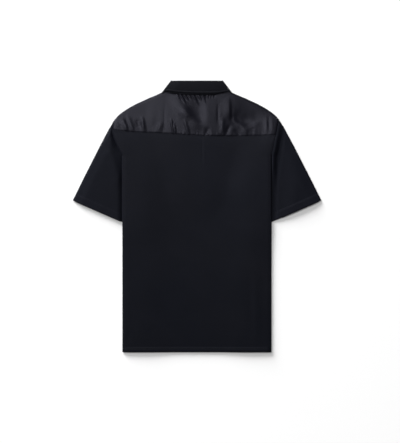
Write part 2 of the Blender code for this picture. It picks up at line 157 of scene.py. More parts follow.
def level_over(x, y, placket, leaf):
    """The height of cloth over the turned sides and sleeves, the placket and the collar's leaves."""
    above_arm = np.asarray(y) - underarm
    from_seam = armhole_far(x, y)
    pinched = smooth(above_arm / 40) * (1 - smooth(from_seam / 25))
    draped = draped_lift(x, y) * (1 - 0.25 * pinched)
    roll = roll_high * (1 - smooth(from_seam / roll_wide)) * smooth((above_arm + 8) / 50)
    below = shoulder_height(x) - y
    roll = roll * (0.5 * smooth(below / 7) + 0.5 * smooth(below / 30))
    return table + (draped**3 + placket**3 + leaf**3) ** (1 / 3) + roll


def front_height(x, y):
    placket = placket_lift * smooth(1 - (away(x, y, under_placket) - 1) / 26)
    leaf = step * smooth(1 - (away(np.abs(x), y, under_leaf) - 6) / 20)
    return level_over(x, y, placket, leaf)


def lay_cloth(name, spots, cut, material, wall=cloth, keep=None, tube=False):
    """A sheet through a grid of points in millimetres, with its place in the cut as its UV map."""
    rows, columns = spots.shape[:2]
    bm = bmesh.new()
    uv = bm.loops.layers.uv.new("cut")
    bmesh.ops.create_grid(bm, x_segments=columns - 1, y_segments=rows - 1, size=1.0)
    at = {}
    for v in bm.verts:
        at[v] = (round((v.co.y + 1) / 2 * (rows - 1)), round((v.co.x + 1) / 2 * (columns - 1)))
    for face in bm.faces:
        for loop in face.loops:
            loop[uv].uv = cut[at[loop.vert]] / 1000
    for v, place in at.items():
        x, y, z = spots[place]
        v.co = (x / 1000, (y - length / 2) / 1000, z / 1000)
    if keep is not None:
        bmesh.ops.delete(bm, geom=[v for v, place in at.items() if not keep[place]], context="VERTS")
    if tube:
        bmesh.ops.remove_doubles(bm, verts=bm.verts[:], dist=1e-6)
    bmesh.ops.recalc_face_normals(bm, faces=bm.faces[:])
    sheet = settle(name, bm, material)
    thick = sheet.modifiers.new("thickness of the cloth", "SOLIDIFY")
    thick.thickness = wall / 1000
    thick.offset = 0.0
    thick.use_quality_normals = True
    return sheet


def settle(name, bm, material):
    mesh = bpy.data.meshes.new(name)
    bm.to_mesh(mesh)
    bm.free()
    mesh.shade_smooth()
    mesh.materials.append(material)
    made = bpy.data.objects.new(name, mesh)
    bpy.context.scene.collection.objects.link(made)
    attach(made, "root")
    return made


def sew(name, rows, material, stitch=2.7, pitch=3.4, thick=0.5):
    """Rows of stitches in one mesh, each row along a line of points in millimetres."""
    bm = bmesh.new()
    for row in rows:
        row = np.array(row, float)
        far = np.concatenate([[0], np.cumsum(np.linalg.norm(np.diff(row, axis=0), axis=1))])
        for middle in np.arange(pitch / 2, far[-1] - pitch / 2, pitch):
            ends = [
                Vector([np.interp(middle + way * stitch / 2, far, row[:, k]) for k in range(3)])
                for way in (-1, 1)
            ]
            centre = (ends[0] + ends[1]) / 2
            centre.y -= length / 2
            turn = (ends[1] - ends[0]).to_track_quat("Z", "Y")
            size = Vector((thick, thick, stitch))
            place = Matrix.Scale(0.001, 4) @ Matrix.LocRotScale(centre, turn, size)
            bmesh.ops.create_uvsphere(bm, u_segments=6, v_segments=4, radius=0.5, matrix=place)
    return settle(name, bm, material)


class Strand:
    """A socket of a material, on which sums are written as they read."""

    def __init__(self, tree, socket):
        self.tree, self.socket = tree, socket

    def sum(self, operation, *others):
        node = self.tree.nodes.new("ShaderNodeMath")
        node.operation = operation
        for term, socket in zip([self, *others], node.inputs):
            if isinstance(term, Strand):
                self.tree.links.new(term.socket, socket)
            else:
                socket.default_value = term
        return Strand(self.tree, node.outputs[0])

    def __add__(self, other):
        return self.sum("ADD", other)

    def __sub__(self, other):
        return self.sum("SUBTRACT", other)

    def __mul__(self, other):
        return self.sum("MULTIPLY", other)

    def sine(self):
        return self.sum("SINE")


class Finish:
    """A finish of the shirt: its shader and the nodes that feed it."""

    def __init__(self, name, **constants):
        self.material = bpy.data.materials.new(name)
        self.material.use_nodes = True
        self.tree = self.material.node_tree
        self.shader = self.tree.nodes["Principled BSDF"]
        for socket, value in constants.items():
            self.put(self.shader.inputs[socket.replace("_", " ")], value)

    def put(self, socket, value):
        if isinstance(value, Strand):
            self.tree.links.new(value.socket, socket)
        else:
            socket.default_value = value

    def node(self, kind, settings=None, sockets=None, output=0):
        made = self.tree.nodes.new("ShaderNode" + kind)
        for setting, value in (settings or {}).items():
            setattr(made, setting, value)
        for socket, value in (sockets or {}).items():
            self.put(made.inputs[socket], value)
        return Strand(self.tree, made.outputs[output])

    def noise(self, place, scale, detail=2.0, rough=0.5):
        return self.node(
            "TexNoise", {}, {"Vector": place, "Scale": scale, "Detail": detail, "Roughness": rough}
        )

    def blend(self, share, first, second):
        """A colour between two, by share."""
        return self.node("Mix", {"data_type": "RGBA"}, {0: share, 6: first, 7: second}, output=2)

    def cut(self):
        """The place in the cut cloth, in metres, and its two parts: across, then up."""
        place = self.node("UVMap", {"uv_map": "cut"})
        parts = [self.node("SeparateXYZ", {}, {0: place}, output=k) for k in (0, 1)]
        return place, *parts

    def feed(self, colour, roughness, relief, depth):
        self.put(self.shader.inputs["Base Color"], colour)
        self.put(self.shader.inputs["Roughness"], roughness)
        bump = self.node("Bump", {}, {"Height": relief, "Distance": depth, "Strength": 1.0})
        self.put(self.shader.inputs["Normal"], bump)
        return self.material


wale, course = 0.0011, 0.0009  # metres, a little coarser than the real knit
sleeve_hem_edge = 0.0205


def knitted(name, dark, light, painted_light_up=0.0, paler_hem=0.0):
    """Jersey: fine wales up the cloth, crossed by the courses, in an uneven dark dye, with painted
    light that makes it paler up the cloth, and a paler hem band where asked.
    """
    finish = Finish(
        name,
        Specular_IOR_Level=0.07,
        Specular_Tint=(0.8, 0.86, 1.0, 1.0),
        Sheen_Weight=0.03,
        Sheen_Roughness=0.45,
        Sheen_Tint=(0.62, 0.68, 0.9, 1.0),
    )
    place, across, up = finish.cut()
    cloudy = finish.noise(place, 9.0, 3.0, 0.55)
    fleck = finish.noise(place, 900.0, 2.0, 0.6)
    wales = (across * (2 * math.pi / wale)).sine() * 0.5 + 0.5
    courses = (up * (2 * math.pi / course)).sine() * 0.3 + 0.7
    share = cloudy * 1.2 + fleck * 0.9 + wales * courses * 0.35 - 0.7
    # Painted light: the colour grows paler up the cloth, standing in for light that falls more strongly
    # towards the collar; the sleeves' hem band is also made paler.
    share = share + (up - 0.3) * painted_light_up + up.sum("LESS_THAN", sleeve_hem_edge) * paler_hem
    moved = finish.node("Mapping", {}, {"Vector": place, "Location": (3.1, 1.7, 0)})
    washed = finish.noise(moved, 4.0, 1.0)
    warm = finish.blend(washed * 2.0 - 0.5, (1.0, 1.0, 1.0, 1.0), (1.05, 0.98, 0.9, 1.0))
    dye_and_painted_light = finish.blend(share, (*dark, 1.0), (*light, 1.0))
    mix = {"data_type": "RGBA", "blend_type": "MULTIPLY"}
    return finish.feed(
        finish.node("Mix", mix, {0: 1.0, 6: dye_and_painted_light, 7: warm}, output=2),
        cloudy * 0.12 + 0.5,
        wales * courses + fleck * 0.6,
        0.00012,
    )


# Painted light: the body's jersey is paler towards the collar and darker towards the hem, for the light
# falling off down the body.
jersey = knitted("jersey", (0.0028, 0.0032, 0.0055), (0.0053, 0.0056, 0.0087), painted_light_up=1.6)
sleeve_jersey = knitted(
    "sleeve_jersey", (0.0032, 0.0037, 0.0065), (0.0045, 0.0049, 0.0083), paler_hem=0.8
)
thread_finish = Finish("sewing_thread", Specular_IOR_Level=0.12, Sheen_Weight=0.05)
twist = thread_finish.noise(thread_finish.node("TexCoord", output=3), 2500.0)
thread = thread_finish.feed(
    thread_finish.blend(twist, (0.0045, 0.0048, 0.0075, 1.0), (0.010, 0.0105, 0.015, 1.0)),
    twist * 0.2 + 0.35,
    twist,
    0.0001,
)

# Places across half a body panel, and up it. The hem has two rows of stitches, 9 and 11 mm up.
stitched_at = (9, 11)
hem_edge = 13.6
across_body = np.array([*np.linspace(0, 14.6, 8), 15.4, *np.arange(17.5, 202, 2.1), crest])
hem_rows = ((12.6, 1), (9.5, 1), (6.5, 1), (3.5, 1), (1.3, 1), (0.3, 0.87), (-0.1, 0.5), (0.3, 0.13))
heights_of_body = [1.2, 2.6, 4, 5.5, 7, 8, 8.6, 9, 9.4, 10, 10.6, 11, 11.4, 12.2, 12.9, 13.5, 14.3]
heights_of_body += [16, 19, 23, *range(30, 450, 9), *range(452, 534, 6)]
heights_of_body += [535, 537, 539, 541, 543, 545, 547, 550, 553, 557, 562]


def hem_relief(x, y):
    """The hem is thicker and a little roped between its edge and its stitches."""
    ropes = np.sin(2 * math.pi * (x + 0.6 * y) / 6.3 + 1.3 * np.sin(x / 31) + 0.8 * np.sin(x / 13))
    roped = 0.2 * ropes * smooth(y / 2) * smooth((11 - y) / 2) * (0.65 + 0.35 * np.sin(x / 47 + 1))
    rows = sum(0.3 * np.exp(-(((y - at) / 0.6) ** 2)) for at in stitched_at)
    return 0.65 * smooth((hem_edge - y) / 1.2) + roped - rows


def body_panel(radius, turns, height, above, top, over_seam, trim, inner):
    """The points of a body panel, their places in the cut and which of them are there. height(x, y) is
    its level, which at the sides is that of the front and the steps above it, and top(x) its edge."""
    bend = [crest + radius * math.pi * k / turns for k in range(1, turns + 1)]
    back_in = [bend[-1] + (crest - side_seam) * k / 9 for k in range(1, 10)]
    half = np.array([*across_body, *bend, *back_in])
    slack = (len(half) - 1 - np.arange(len(half))) * 0.3
    first = len(across_body) - 1
    beyond = np.clip((np.arange(len(half)) - first) / (len(half) - 1 - first), 0, 1)
    beyond = 1 - (1 - beyond) ** 1.6
    bend_end = crest + radius * math.pi
    panel, places, present = [], [], []
    for side, sign in (("left", -1), ("right", 1)):

        def across(y):
            flat = smooth((y - 538) / 9)
            limit = armhole(side, y) + 0.15 - trim * np.exp(-(((y - 542) / 10) ** 2))
            limit = limit - (back_half - half[-1]) * (1 - flat)
            turned = np.minimum(half, limit - slack)
            spread_out = np.minimum(half, crest) + np.maximum(limit - crest, 2.0) * beyond
            return turned + (spread_out - turned) * flat

        upper = np.full(len(half), 620.0)
        for _ in range(30):
            upper = 0.5 * upper + 0.5 * top(sign * across(upper))
        seam = seam_height(sign * across(seam_height(sign * half))) - seam_gap
        seam = np.minimum(seam, upper)
        last = heights_of_body[-1]
        fine = (0.18, 0.36, 0.54, 0.7, 0.82, 0.9, 0.94, 0.965, 0.98, 0.99, 1)
        rows = [(np.full(len(half), float(y)), o, 0.5 - y) for y, o in hem_rows]
        rows += [(np.full(len(half), float(y)), 0.0, y) for y in heights_of_body]
        rows += [(last + (seam - last) * f, 0.0, None) for f in fine]
        rows += [(seam + (upper - seam) * f, 0.0, None) for f in over_seam]
        spots, cut, there = [], [], []
        for y, offset, cut_y in rows:
            s = across(y)
            angle = np.clip((s - crest) / radius, 0, math.pi)
            x = np.where(s < crest, s, crest + radius * np.sin(angle))
            x = np.where(s > bend_end, crest - (s - bend_end), x)
            drop = radius * (1 - np.cos(angle))
            flat = smooth((y - 540) / 14)
            x, drop = x + (s - x) * flat, drop * (1 - flat)
            strip = front_height(sign * x, y) + above
            level = height(sign * x, y)
            level = np.where(s <= crest, level, strip + (level - strip) * flat)
            level = level + inner * offset
            ripple = hem_relief(sign * s, y) * (offset == 0) * smooth((crest - 2 - s) / 9)
            spots.append(np.stack([sign * x, y, level - drop + ripple], axis=-1))
            up = y if cut_y is None else np.full(len(half), cut_y)
            cut.append(np.stack([sign * s, up], axis=-1))
            there.append((offset < 0.6) | (s < crest - 25))
        panel.append(np.array(spots))
        places.append(np.array(cut))
        present.append(np.array(there))
    return [np.concatenate([a[:, :0:-1], b], axis=1) for a, b in (panel, places, present)]


def front_top(x):
    turned = shoulder_height(x) - yoke_turn - 0.4
    return np.where(np.abs(x) < 90, np.interp(np.abs(x), front_neck["x"], front_neck["y"]), turned)


spots, cut, there = body_panel(
    0.5 * step, 6, front_height, 0.0, front_top, np.linspace(0.1, 1, 10), 1.0, 0.95
)
there &= (np.abs(cut[..., 0]) > placket_half) | (cut[..., 1] < placket_bottom)
front = lay_cloth("front", spots, cut, jersey, keep=there)
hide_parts("front_panel")
flat_part = np.abs(cut[0, :, 0]) < crest - 3
seams = [len(hem_rows) + heights_of_body.index(at) for at in stitched_at]
front_hem = [spots[row][flat_part] - (0, 0, 0.5) for row in seams]
hem_thread = sew("front_hem_stitches", front_hem, thread)

# The back: jersey too, from its hem to the yoke seam. It lies over the front with a little air between,
# and its sides are turned round those of the front and under. Its hem is stitched as the front's is.
back_neck = {
    "x": (-92, -81, -72, -58, -46, -23, 0, 24, 48, 57, 71, 92),
    "y": (722.8, 721.0, 719.0, 716.5, 714.5, 713.5, 713.5, 713.0, 713.5, 716.0, 719.5, 722.8),
}
body_creases = (
    {"from": (14.5, 600), "to": (15.5, 520), "wide": (3, 3), "high": -0.3},
    {"from": (20, 600), "to": (21, 520), "wide": (4, 4), "high": 0.25},
    {"from": (160, 250), "to": (168, 20), "wide": (10, 16), "high": 0.8},
    {"from": (145, 210), "to": (150, 30), "wide": (12, 10), "high": -0.4},
    {"from": (-192, 62), "to": (-189, 22), "wide": (6, 8), "high": -1.4},
    {"from": (-205, 290), "to": (-190, 280), "wide": (4, 4), "high": -0.4},
    {"from": (112, 60), "to": (110, 6), "wide": (14, 14), "high": 0.4},
    {"from": (-90, 330), "to": (60, 250), "wide": (34, 34), "high": -0.5},
    {"from": (-150, 520), "to": (-60, 560), "wide": (30, 30), "high": 0.4},
    {"from": (90, 470), "to": (150, 400), "wide": (36, 36), "high": 0.5},
    {"from": (-40, 130), "to": (80, 90), "wide": (40, 40), "high": -0.4},
    {"from": (-230, 613), "to": (-206, 597), "wide": (3.5, 3.5), "high": -0.9},
    {"from": (216, 600), "to": (197, 585), "wide": (4.5, 4.5), "high": -0.9},
    {"from": (40, 598), "to": (120, 594), "wide": (12, 12), "high": -0.4},
)


def creases(lines, x, y):
    """Soft ridges and hollows, each along a line and with a width to its west and to its east."""
    total = np.zeros(np.broadcast(x, y).shape)
    for c in lines:
        (ax, ay), (bx, by) = c["from"], c["to"]
        dx, dy = bx - ax, by - ay
        t = ((x - ax) * dx + (y - ay) * dy) / (dx * dx + dy * dy)
        on = np.clip(t, 0, 1)
        off = np.hypot(x - ax - on * dx, y - ay - on * dy)
        wide = np.where(x < ax + on * dx, *c["wide"])
        total += c["high"] * np.exp(-((off / wide) ** 2)) * smooth(1.25 - np.abs(2 * t - 1))
    return total


neck_half = 92
air = 1.4  # between the front and the back, where the back lies loose
placket_shows = 125  # how far its hump reaches on the back


def back_height(x, y, lines=body_creases):
    """The middle of the back and the yoke, which sink a little at the seam between them."""
    below_fold = (shoulder_height(x) - y) * 0.85
    arm = armhole_far(x, y)
    edge = np.where(y > underarm, np.minimum(arm, below_fold), crest - np.abs(x))
    loose = 0.45 * smooth((edge - 0.5) / 7) + 0.55 * smooth(edge / 70)
    hump = smooth(1 - (away(x, y, under_placket) - 4) / placket_shows)
    placket = (placket_lift + step - 0.6) * hump
    leaf = step * smooth(1 - (away(np.abs(x), y, under_leaf) - 6) / 60)
    level = np.maximum(level_over(x, y, placket, leaf), front_height(x, y))
    past_seam = y - seam_height(x)
    seam = -0.6 * np.exp(-((past_seam / np.where(past_seam > 0, 1.8, 9.0)) ** 2))
    seam = seam - 0.7 * np.exp(-((arm / 1.1) ** 2)) * smooth((y - underarm) / 12)
    at_neck = np.interp(x, back_neck["x"], back_neck["y"]) - y
    seam = seam - 0.7 * np.exp(-((at_neck / 1.6) ** 2)) * (np.abs(x) < neck_half)
    return level + step + loose * (air + creases(lines, x, y)) + seam


spots, cut, there = body_panel(
    1.5 * step, 10, back_height, step, lambda x: seam_height(x) - seam_gap, (), 0.2, -0.95
)
back = lay_cloth("back", spots, cut, jersey, keep=there)
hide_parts("back_panel")
flat_part = np.abs(cut[0, :, 0]) < crest - 3
back_hem = [spots[row][flat_part] + (0, 0, 0.48) for row in seams]
hem_thread = sew("back_hem_stitches", back_hem, thread)

# The sleeves: short, set in, of jersey. Each is a tube that lies flat, with a seam under the arm and a
# hem 20 mm deep. They sink beside the armhole seams, and their underarms lie under the body.
sleeve_hem = (23, 22, 21.3, 20.6, 20, 19.4, 18.9, 18.4, 17.9, 17)
sleeve_hem += (15.5, 13.5, 11.5, 9.5, 7.5, 5.5, 3.5, 1.8, 0.6)
sleeve_stitched_at = 18.9
hem_in = 24  # where the rows of the hem begin
turned_hem = [(0.1, 0.13), (-0.2, 0.5), (0.1, 0.87)]
turned_hem += [(d, 1) for d in (1.3, 4, 8, 12, 16, 19.5)]
valley = [(240, 645), (236.7, 620), (234, 597), (230.5, 575), (227.3, 553), (223.4, 531)]
valley += [(219, 508), (216.7, 486), (214.5, 464), (213, 420), (210.5, 350)]
ridge = [(230, 632), (222, 597), (218, 564), (213, 531), (211, 505)]
hollow = {
    "height": (340, 470, 486, 513, 544, 571, 593, 620, 634),
    "wide": (16, 16, 13, 24, 31, 21, 14, 11, 7),
}
bow = {"left": (0.0, 1.9, 2.3, 1.8, 0.4), "right": (0.0, 2.4, 3.2, 2.7, 1.4)}
stitched_from = {"left": 60, "right": 55}  # the rest of the upper row lies under the body
points_down = 112
turn_steps = [math.pi * k / 6 for k in range(1, 6)]
half_step = step / 2
for side, sign in (("left", -1), ("right", 1)):
    knots = np.array([armhole_cut[side]["out"], armhole_cut[side]["height"]])[:, ::-1]
    far = np.concatenate([[0], np.cumsum(np.hypot(*np.diff(knots)))])
    heights = np.interp(np.linspace(0, far[-1], points_down), far, knots[1])
    seam_out = armhole(side, heights)
    hidden = heights < underarm + 0.5
    arm_x = np.where(hidden, 2 * fold - seam_out, seam_out - 0.25)
    run = np.concatenate([[0], np.cumsum(np.hypot(np.diff(arm_x), np.diff(heights)))])
    run /= run[-1]
    hem_x = cuff_tip[0] + (cuff_under[0] - cuff_tip[0]) * run
    hem_y = cuff_tip[1] + (cuff_under[1] - cuff_tip[1]) * run
    long = np.hypot(hem_x - arm_x, hem_y - heights)
    seam = list(zip(arm_x[~hidden], heights[~hidden]))
    edge_line = seam + [(fold, underarm), (fold, 300.0)]
    parts = (*np.linspace(0, 0.22, 26), *np.linspace(0.25, 1, 22))
    levels = [(part * (1 - hem_in / long), 0, 0) for part in parts]
    levels += [(1 - d / long, 0, d) for d in sleeve_hem]
    levels += [(1 - d / long, o, -d) for d, o in turned_hem]
    spots, cut, there = [], [], []
    for number, (v, offset, d) in enumerate(levels):
        x = arm_x + (hem_x - arm_x) * v
        y = heights + (hem_y - heights) * v
        over = np.array([x[0] - x[-1], y[0] - y[-1]])
        over /= np.linalg.norm(over)
        bulge = np.interp(v[0], (0, 0.08, 0.35, 0.7, 1), bow[side]) * (1 - run) ** 2
        x, y = x + 0.89 * bulge, y + 0.45 * bulge
        x[0], y[0] = x[0] - 1.43 * over[0], y[0] - 1.43 * over[1]
        at_seam = away(x, y, seam, closed=False)
        at_edge = away(x, y, edge_line, closed=False)
        reach = at_seam / 2.5 if side == "left" else (at_edge - 4) / 14
        beside = np.where(y < underarm, smooth((y - 430) / 115) * smooth((x - fold - 0.3) / 2.2), 1.0)
        nearest = np.where(y < underarm, np.minimum(x, fold - 4), x)
        climb = (front_height(sign * nearest, y) - table) * smooth(1 - reach)
        climb = climb * (beside if side == "right" else 1.0)
        if number == 0:
            climb = np.where(hidden, 0, front_height(sign * x, y) - table)
        outer = away(x, y, [(x[0], y[0]), cuff_tip], closed=False)
        open_air = smooth((1 - run) * 7) * smooth((x - fold) / 4)
        full = open_air * (1.6 * smooth(outer / 4) + 2.6 * smooth(outer / 30))
        if side == "left":
            wide = np.interp(y, hollow["height"], hollow["wide"])
            crown = (1.8 + 1.2 * smooth((y - 560) / 30)) * np.exp(-(((at_edge - wide) / 14) ** 2))
            crown = crown * smooth((y - 440) / 70) * smooth(outer / 9)
            falling = np.clip((at_edge - 2.0) / (wide - 2.0), 0, 1)
            puff = (full + open_air * crown) * (1 - (1 - falling) ** 2)
        else:
            at_valley = away(x, y, valley, closed=False)
            beyond = x > np.interp(-y, [-b for a, b in valley], [a for a, b in valley])
            climbing = 0.25 * smooth((at_valley - 5) / 9) + 0.75 * smooth((at_valley - 4) / 60)
            puff = np.where(beyond, full * climbing, 0.0)
            lifted = np.exp(-((away(x, y, ridge, closed=False) / 5) ** 2))
            lifted = lifted * (0.15 + 0.4 * smooth((620 - y) / 60))
            puff = puff + open_air * lifted * smooth(at_seam / 4.5) * smooth((at_valley - 1) / 6)
        puff += 0.5 * open_air * np.exp(-((away(x, y, [(300, 500), (262, 410)], False) / 20) ** 2))
        depth = np.abs(d) if d > 0 else 99.0
        along_hem = run * 190
        ropes = np.sin(2 * math.pi * (along_hem + 0.7 * depth) / 5.6 + 1.1 * np.sin(along_hem / 17))
        relief = 0.32 * ropes * smooth(depth / 2) * smooth((18 - depth) / 3)
        relief += 0.6 * smooth((21.6 - depth) / 1.3)
        relief -= 0.35 * np.exp(-(((depth - sleeve_stitched_at) / 0.7) ** 2))
        relief = relief * smooth((puff - 0.3) / 1.2) if d > 0 else 0.0 * x
        puff = np.maximum(puff, 0.0) + relief
        puff = np.where(open_air > 0.02, puff, 0.0)
        lower = table + climb
        upper = lower + step + puff
        inside = offset * 0.95
        ring = list(zip(x[::-1], y[::-1], (upper - inside)[::-1]))
        for end, way in ((0, 1), (-1, -1)):
            for a in turn_steps:
                out = over * way * half_step * math.sin(a)
                up = lower[end] + half_step + way * half_step * math.cos(a)
                ring.append((x[end] + out[0], y[end] + out[1], up))
            if end == 0:
                ring += list(zip(x, y, lower + inside))
        ring.append(ring[0])
        ring = np.array(ring)
        around = np.concatenate([[0], np.cumsum(np.linalg.norm(np.diff(ring[:, :2], axis=0), axis=1))])
        spots.append(ring * (sign, 1, 1))
        up = float(np.mean((1 - v) * long)) if d == 0 else d
        cut.append(np.stack([around, np.full(len(ring), up)], axis=-1))
        room = upper - lower > 3.5
        bend = np.zeros(len(turn_steps), bool)
        shown = np.concatenate([room[::-1], bend, room, bend, room[-1:]])
        there.append(shown if d < 0 else np.ones(len(ring), bool))
    spots, cut, there = np.array(spots), np.array(cut), np.array(there)
    sleeve = lay_cloth(f"sleeve_{side}_jersey", spots, cut, sleeve_jersey, keep=there, tube=True)
    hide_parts(f"sleeve_{side}")
    row = spots[[d for _, _, d in levels].index(sleeve_stitched_at)]
    upper_row = row[stitched_from[side] : points_down] + (0, 0, 0.5)
    lower_row = row[points_down + len(turn_steps) :][:points_down] - (0, 0, 0.48)
    cuff_thread = sew(f"sleeve_{side}_stitches", [upper_row, lower_row], thread)

# The yoke: smooth grey woven nylon with a soft lustre. It is gathered into the neck seam, passes over
# the shoulder fold and ends at a seam on the front. Its creases are placed as the photograph shows.
yoke_creases = (
    {"from": (-219, 646), "to": (-207, 615), "wide": (3, 3), "high": -0.9},
    {"from": (-207, 653), "to": (-192, 612), "wide": (9, 5), "high": 3.0},
    {"from": (-195, 661), "to": (-177, 610), "wide": (4, 7), "high": 2.2},
    {"from": (-166, 648), "to": (-160, 622), "wide": (5, 4), "high": -1.1},
    {"from": (-153, 655), "to": (-147, 610), "wide": (3.5, 4.5), "high": 2.1},
    {"from": (-101, 640), "to": (-108, 610), "wide": (5, 8), "high": 1.4},
    {"from": (-91, 690), "to": (-90, 610), "wide": (4, 5), "high": -0.5},
    {"from": (-72, 648), "to": (-66, 606), "wide": (3, 2.4), "high": 1.9},
    {"from": (-64, 634), "to": (-58, 606), "wide": (2.2, 2.4), "high": 1.6},
    {"from": (-36, 646), "to": (-23, 604), "wide": (4, 5), "high": 1.6},
    {"from": (-68, 718), "to": (-22, 648), "wide": (17, 15), "high": 2.8},
    {"from": (-42, 678), "to": (8, 620), "wide": (16, 14), "high": 2.2},
    {"from": (2, 706), "to": (9, 632), "wide": (26, 16), "high": -2.6},
    {"from": (22, 702), "to": (29, 636), "wide": (9, 12), "high": 0.5},
    {"from": (59, 690), "to": (59, 632), "wide": (4, 3), "high": -0.8},
    {"from": (88, 708), "to": (91, 650), "wide": (16, 4.5), "high": 2.1},
    {"from": (72, 650), "to": (70, 604), "wide": (6, 6), "high": 1.4},
    {"from": (97, 682), "to": (96, 640), "wide": (3, 4), "high": -1.0},
    {"from": (98, 650), "to": (124, 622), "wide": (5, 6), "high": 1.2},
    {"from": (118, 640), "to": (140, 602), "wide": (5, 10), "high": 1.5},
    {"from": (97, 660), "to": (142, 632), "wide": (18, 22), "high": -2.5},
    {"from": (130, 633), "to": (180, 658), "wide": (22, 20), "high": -2.3},
    {"from": (128, 702), "to": (186, 671), "wide": (7, 7), "high": 0.8},
    {"from": (137, 618), "to": (178, 640), "wide": (6, 7), "high": 1.0},
    {"from": (79, 600), "to": (92, 632), "wide": (5, 5), "high": -1.4},
    {"from": (103, 618), "to": (122, 600), "wide": (5, 5), "high": -1.3},
    {"from": (30, 624), "to": (28, 602), "wide": (6, 6), "high": -1.2},
    {"from": (193, 661), "to": (195, 604), "wide": (6, 3.5), "high": 1.3},
    {"from": (199, 655), "to": (200, 610), "wide": (2.5, 2.5), "high": -0.5},
    {"from": (208, 653), "to": (210, 604), "wide": (4.5, 4), "high": 1.1},
    {"from": (160, 624), "to": (164, 602), "wide": (5, 5), "high": 0.6},
    {"from": (-128, 690), "to": (-124, 630), "wide": (10, 12), "high": 0.6},
)
puckers = (
    {"from": (-57, 721.8), "to": (-50, 704), "wide": (2.2, 2.2), "high": 1.0},
    {"from": (-55.5, 732), "to": (-31, 688), "wide": (2.4, 2.4), "high": 1.5},
    {"from": (-42.2, 724.5), "to": (-23, 698), "wide": (2.1, 2.1), "high": 1.3},
    {"from": (-26.5, 719.2), "to": (-16, 705), "wide": (1.9, 1.9), "high": 0.9},
    {"from": (-23, 735), "to": (5, 684), "wide": (2.6, 2.4), "high": 1.4},
    {"from": (-2.8, 724.5), "to": (13, 698), "wide": (2.1, 2.1), "high": 1.2},
    {"from": (8.2, 730.5), "to": (24, 690), "wide": (2.3, 2.1), "high": 1.2},
    {"from": (30.8, 719), "to": (29, 703), "wide": (1.9, 1.9), "high": 0.9},
    {"from": (37.9, 718.2), "to": (37, 704), "wide": (1.8, 1.8), "high": 0.8},
    {"from": (44.9, 719.2), "to": (44, 705), "wide": (1.8, 1.8), "high": 0.7},
    {"from": (-55.1, 723), "to": (-42, 700), "wide": (2.4, 2.2), "high": -1.2},
    {"from": (-46.5, 724.5), "to": (-29, 698), "wide": (2.2, 2.2), "high": -1.2},
    {"from": (-34.8, 723), "to": (-19, 700), "wide": (2.2, 2.2), "high": -1.0},
    {"from": (-24.2, 724.2), "to": (-5, 696), "wide": (2.8, 2.4), "high": -1.2},
    {"from": (-10.5, 723.5), "to": (7, 697), "wide": (2.3, 2.3), "high": -1.0},
    {"from": (5.6, 720.5), "to": (17, 701), "wide": (2.1, 2.1), "high": -0.9},
    {"from": (21.8, 721.5), "to": (27, 702), "wide": (2.6, 2.6), "high": -1.1},
    {"from": (34.8, 717.5), "to": (33, 705), "wide": (2.0, 2.0), "high": -0.9},
    {"from": (41.8, 717.5), "to": (40, 705), "wide": (2.0, 2.0), "high": -0.8},
    {"from": (52.2, 722.8), "to": (47, 705), "wide": (2.6, 2.6), "high": -0.7},
)
nylon = Finish(
    "yoke_nylon",
    Specular_Tint=(0.84, 0.84, 1.0, 1.0),
    Specular_IOR_Level=0.17,
    Sheen_Weight=0.02,
    Sheen_Roughness=0.3,
    Sheen_Tint=(0.85, 0.86, 1.0, 1.0),
)
place, across, up = nylon.cut()
cloudy = nylon.noise(place, 26.0, 3.0, 0.6)
slub = nylon.noise(nylon.node("Mapping", {}, {"Vector": place, "Scale": (700, 90, 1)}), 1.0)
yarn = 0.0006
yarns = (across * (2 * math.pi / yarn)).sine() * (up * (2 * math.pi / yarn)).sine()
nylon.feed(
    nylon.blend(
        cloudy * 0.9 + slub * 0.5 - 0.2, (0.0028, 0.0028, 0.0048, 1.0), (0.0048, 0.0048, 0.0078, 1.0)
    ),
    cloudy * 0.12 + 0.29,
    yarns * 0.5 + slub,
    0.00006,
)
seam_allowance = 2.6  # of the neck seam, under the stand
seam_left, seam_right = -233.9, 219.8
left_tops = np.concatenate([np.linspace(-235.2, -93, 48), np.linspace(-91, -62, 16)])
right_tops = np.concatenate([np.linspace(50, 91, 22), np.linspace(93, 229.2, 46)])
tops = np.concatenate([left_tops, np.arange(-60.8, 49.4, 1.2), right_tops])
across_yoke = (tops - tops[0]) / (tops[-1] - tops[0])
bottoms = seam_left + (seam_right - seam_left) * across_yoke
at_neck = np.abs(tops) < neck_half
neck_y = np.interp(tops, back_neck["x"], back_neck["y"]) + seam_allowance
edge_y = np.where(at_neck, neck_y, shoulder_height(tops))
edge_y -= np.where(at_neck, 0.5 * creases(puckers, tops, edge_y - 3), 0.0)
slope = (shoulder_height(np.abs(tops) + 2) - shoulder_height(np.abs(tops) - 2)) / 4
outward = np.stack([-slope * np.sign(tops), np.ones(len(tops))], axis=-1)
outward /= np.linalg.norm(outward, axis=1, keepdims=True)
edge = np.stack([tops, edge_y], axis=-1)
edge -= outward * np.where(at_neck, 0.0, half_step + 0.5)[:, None]
foot = np.stack([bottoms, seam_height(bottoms) + seam_gap], axis=-1)
levels = [0, 0.005, 0.012, 0.025, 0.04, *np.linspace(0.06, 0.78, 34), *np.linspace(0.8, 1.0, 18)]
spots, cut = [], []
for v in levels:
    x, y = (foot + (edge - foot) * v).T
    bunched = creases(puckers, x, y) * smooth((y - 676) / 10)
    drawn = 0.22 * (np.sin(x / 1.45 + 1.6 * np.sin(x / 9)) + np.sin(x / 2.3 + 2 * np.sin(x / 23)))
    drawn = drawn * np.exp(-(y - seam_height(x)) / 7) * smooth((y - seam_height(x)) / 2)
    z = back_height(x, y, yoke_creases) + bunched + drawn * smooth(armhole_far(x, y) / 20)
    spots.append(np.stack([x, y, z], axis=-1))
    cut.append(np.stack([x, y], axis=-1))
